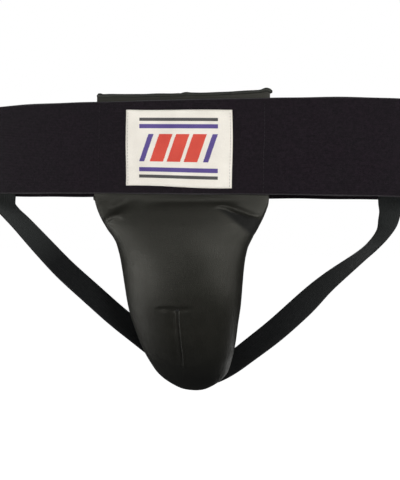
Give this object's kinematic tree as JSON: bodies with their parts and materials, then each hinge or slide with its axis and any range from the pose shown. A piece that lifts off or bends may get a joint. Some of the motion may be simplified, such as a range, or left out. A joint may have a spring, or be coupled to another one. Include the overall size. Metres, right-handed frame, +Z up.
{
  "type": "groin protector",
  "caption": "Padded groin cup with a hard shell, hung from a wide elastic waistband with two elastic leg straps.",
  "frame": {"origin": "centre of the waist opening at the middle of the waistband's height", "axes": "+Z up, -Y to the wearer's front, +X to the wearer's left"},
  "size_m": [0.442, 0.1226, 0.3004],
  "materials": {
    "waist_elastic": "black ribbed elastic webbing",
    "strap_elastic": "black flat elastic",
    "vinyl": "black leather-grain vinyl, satin",
    "foam": "closed-cell foam",
    "shell_plastic": "moulded plastic",
    "rim_rubber": "soft rubber",
    "lining_cloth": "black knitted lining",
    "label_weave": "woven label",
    "thread": "polyester thread",
    "light_thread": "polyester thread"
  },
  "bodies": {
    "waistband": {"waistband": "waist_elastic", "waistband_join_stitching": "thread", "label": "label_weave", "label_stitching": "light_thread", "panel_cover": "vinyl", "panel_padding": "foam", "panel_lining": "lining_cloth", "panel_top_binding": "vinyl", "panel_stitching": "thread", "leg_strap_left": "strap_elastic", "leg_strap_right": "strap_elastic", "strap_stitching_left": "thread", "strap_stitching_right": "thread"},
    "cup": {"cup_cover": "vinyl", "cup_foam": "foam", "hard_cup": "shell_plastic", "rim_cushion": "rim_rubber", "cup_lining": "lining_cloth", "cup_piping": "vinyl", "dart_stitching": "thread", "strap_anchor": "vinyl", "anchor_stitching": "thread"}
  },
  "joints": [
    {"name": "cup_swing", "type": "hinge", "parent": "waistband", "child": "cup", "pos_m": [0, -0.038, -0.057], "axis": [-1, 0, 0], "range_deg": [-12, 40], "stiffness_Nm_per_rad": 0.5, "springref_deg": -5.16, "deforming": ["leg_strap_left", "leg_strap_right"]}
  ]
}
